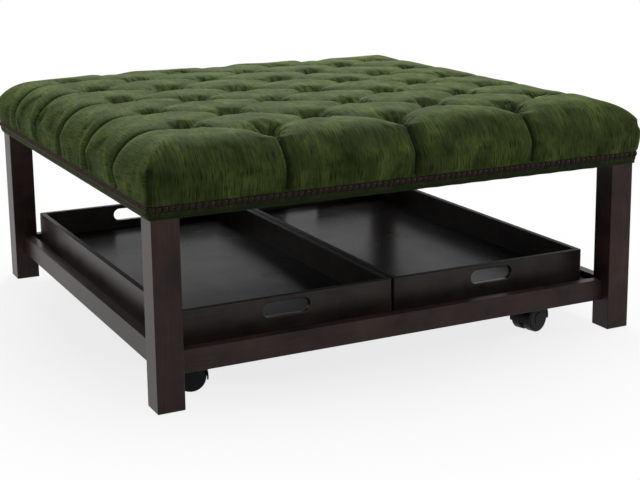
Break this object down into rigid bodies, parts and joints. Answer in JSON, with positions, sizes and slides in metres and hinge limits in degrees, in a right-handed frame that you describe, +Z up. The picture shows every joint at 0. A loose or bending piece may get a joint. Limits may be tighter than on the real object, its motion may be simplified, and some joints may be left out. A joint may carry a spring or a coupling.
{
  "type": "ottoman coffee table",
  "caption": "Square tufted ottoman used as a coffee table, on straight wooden legs with a low shelf, lift-out trays and hidden swivel casters.",
  "frame": {"origin": "on the floor under the middle of the table, at the wheels' lowest points", "axes": "+Z up, -Y the front where a tray is pulled out, +X to the right seen from the front"},
  "size_m": [1.0424, 1.0424, 0.482],
  "materials": {
    "stained_wood": "semi-gloss espresso stain",
    "tray_wood": "semi-gloss espresso stain",
    "shelf_wood": "satin espresso stain",
    "frame_timber": "planed, unfinished",
    "deck_board": "sanded plywood",
    "fastener_steel": "zinc plated",
    "plate_steel": "zinc plated",
    "foam": "open-cell foam",
    "velvet": "pile",
    "button_velvet": "pile",
    "tie_twine": "waxed twine",
    "dust_cloth": "thin nonwoven",
    "band": "smooth, matt",
    "nail_bronze": "dark antique bronze",
    "caster_plastic": "moulded, semi-gloss",
    "axle_steel": "ground",
    "wheel_plastic": "moulded, semi-gloss"
  },
  "bodies": {
    "table": {"leg_front_left": "stained_wood", "leg_front_right": "stained_wood", "leg_back_left": "stained_wood", "leg_back_right": "stained_wood", "rail_front": "stained_wood", "rail_back": "stained_wood", "rail_left": "stained_wood", "rail_right": "stained_wood", "rail_dowels": "frame_timber", "shelf_panel": "shelf_wood", "shelf_cleats": "frame_timber", "apron_front": "frame_timber", "apron_back": "frame_timber", "apron_left": "frame_timber", "apron_right": "frame_timber", "corner_blocks": "frame_timber", "leg_bolts": "fastener_steel", "leg_nuts": "fastener_steel", "deck_panel": "deck_board", "foam_core": "foam", "tufted_cover": "velvet", "tuft_buttons": "button_velvet", "tuft_ties": "tie_twine", "dust_cover": "dust_cloth", "trim_band": "band", "nailheads": "nail_bronze", "caster_plates": "plate_steel", "caster_screws": "fastener_steel"},
    "left_tray": {"tray_left_base": "tray_wood", "tray_left_front_wall": "tray_wood", "tray_left_back_wall": "tray_wood", "tray_left_left_wall": "tray_wood", "tray_left_right_wall": "tray_wood"},
    "right_tray": {"tray_right_base": "tray_wood", "tray_right_front_wall": "tray_wood", "tray_right_back_wall": "tray_wood", "tray_right_left_wall": "tray_wood", "tray_right_right_wall": "tray_wood"},
    "caster_front_left": {"caster_front_left_housing": "caster_plastic", "caster_front_left_axle": "axle_steel"},
    "caster_front_left_front_wheel": {"caster_front_left_front_wheel": "wheel_plastic"},
    "caster_front_left_back_wheel": {"caster_front_left_back_wheel": "wheel_plastic"},
    "caster_front_right": {"caster_front_right_housing": "caster_plastic", "caster_front_right_axle": "axle_steel"},
    "caster_front_right_front_wheel": {"caster_front_right_front_wheel": "wheel_plastic"},
    "caster_front_right_back_wheel": {"caster_front_right_back_wheel": "wheel_plastic"},
    "caster_back_left": {"caster_back_left_housing": "caster_plastic", "caster_back_left_axle": "axle_steel"},
    "caster_back_left_front_wheel": {"caster_back_left_front_wheel": "wheel_plastic"},
    "caster_back_left_back_wheel": {"caster_back_left_back_wheel": "wheel_plastic"},
    "caster_back_right": {"caster_back_right_housing": "caster_plastic", "caster_back_right_axle": "axle_steel"},
    "caster_back_right_front_wheel": {"caster_back_right_front_wheel": "wheel_plastic"},
    "caster_back_right_back_wheel": {"caster_back_right_back_wheel": "wheel_plastic"}
  },
  "joints": [
    {"name": "left_tray_lift_out", "type": "slide", "parent": "table", "child": "left_tray", "axis": [0, -0.9272, 0.3746], "range_m": [0, 0.48]},
    {"name": "right_tray_lift_out", "type": "slide", "parent": "table", "child": "right_tray", "axis": [0, -0.9272, 0.3746], "range_m": [0, 0.48]},
    {"name": "caster_front_left_swivel", "type": "hinge", "parent": "table", "child": "caster_front_left", "pos_m": [-0.382, -0.413, 0.0625], "axis": [0, 0, 1], "continuous": true},
    {"name": "caster_front_left_front_wheel_spin", "type": "hinge", "parent": "caster_front_left", "child": "caster_front_left_front_wheel", "pos_m": [-0.40831, -0.40342, 0.0285], "axis": [0.342, 0.9397, 0], "continuous": true},
    {"name": "caster_front_left_back_wheel_spin", "type": "hinge", "parent": "caster_front_left", "child": "caster_front_left_back_wheel", "pos_m": [-0.40831, -0.40342, 0.0285], "axis": [0.342, 0.9397, 0], "continuous": true},
    {"name": "caster_front_right_swivel", "type": "hinge", "parent": "table", "child": "caster_front_right", "pos_m": [0.35, -0.413, 0.0625], "axis": [0, 0, 1], "continuous": true},
    {"name": "caster_front_right_front_wheel_spin", "type": "hinge", "parent": "caster_front_right", "child": "caster_front_right_front_wheel", "pos_m": [0.32337, -0.42165, 0.0285], "axis": [-0.309, 0.9511, 0], "continuous": true},
    {"name": "caster_front_right_back_wheel_spin", "type": "hinge", "parent": "caster_front_right", "child": "caster_front_right_back_wheel", "pos_m": [0.32337, -0.42165, 0.0285], "axis": [-0.309, 0.9511, 0], "continuous": true},
    {"name": "caster_back_left_swivel", "type": "hinge", "parent": "table", "child": "caster_back_left", "pos_m": [-0.382, 0.413, 0.0625], "axis": [0, 0, 1], "continuous": true},
    {"name": "caster_back_left_front_wheel_spin", "type": "hinge", "parent": "caster_back_left", "child": "caster_back_left_front_wheel", "pos_m": [-0.40494, 0.39694, 0.0285], "axis": [-0.5736, 0.8192, 0], "continuous": true},
    {"name": "caster_back_left_back_wheel_spin", "type": "hinge", "parent": "caster_back_left", "child": "caster_back_left_back_wheel", "pos_m": [-0.40494, 0.39694, 0.0285], "axis": [-0.5736, 0.8192, 0], "continuous": true},
    {"name": "caster_back_right_swivel", "type": "hinge", "parent": "table", "child": "caster_back_right", "pos_m": [0.35, 0.413, 0.0625], "axis": [0, 0, 1], "continuous": true},
    {"name": "caster_back_right_front_wheel_spin", "type": "hinge", "parent": "caster_back_right", "child": "caster_back_right_front_wheel", "pos_m": [0.32227, 0.4169, 0.0285], "axis": [0.1392, 0.9903, 0], "continuous": true},
    {"name": "caster_back_right_back_wheel_spin", "type": "hinge", "parent": "caster_back_right", "child": "caster_back_right_back_wheel", "pos_m": [0.32227, 0.4169, 0.0285], "axis": [0.1392, 0.9903, 0], "continuous": true}
  ]
}
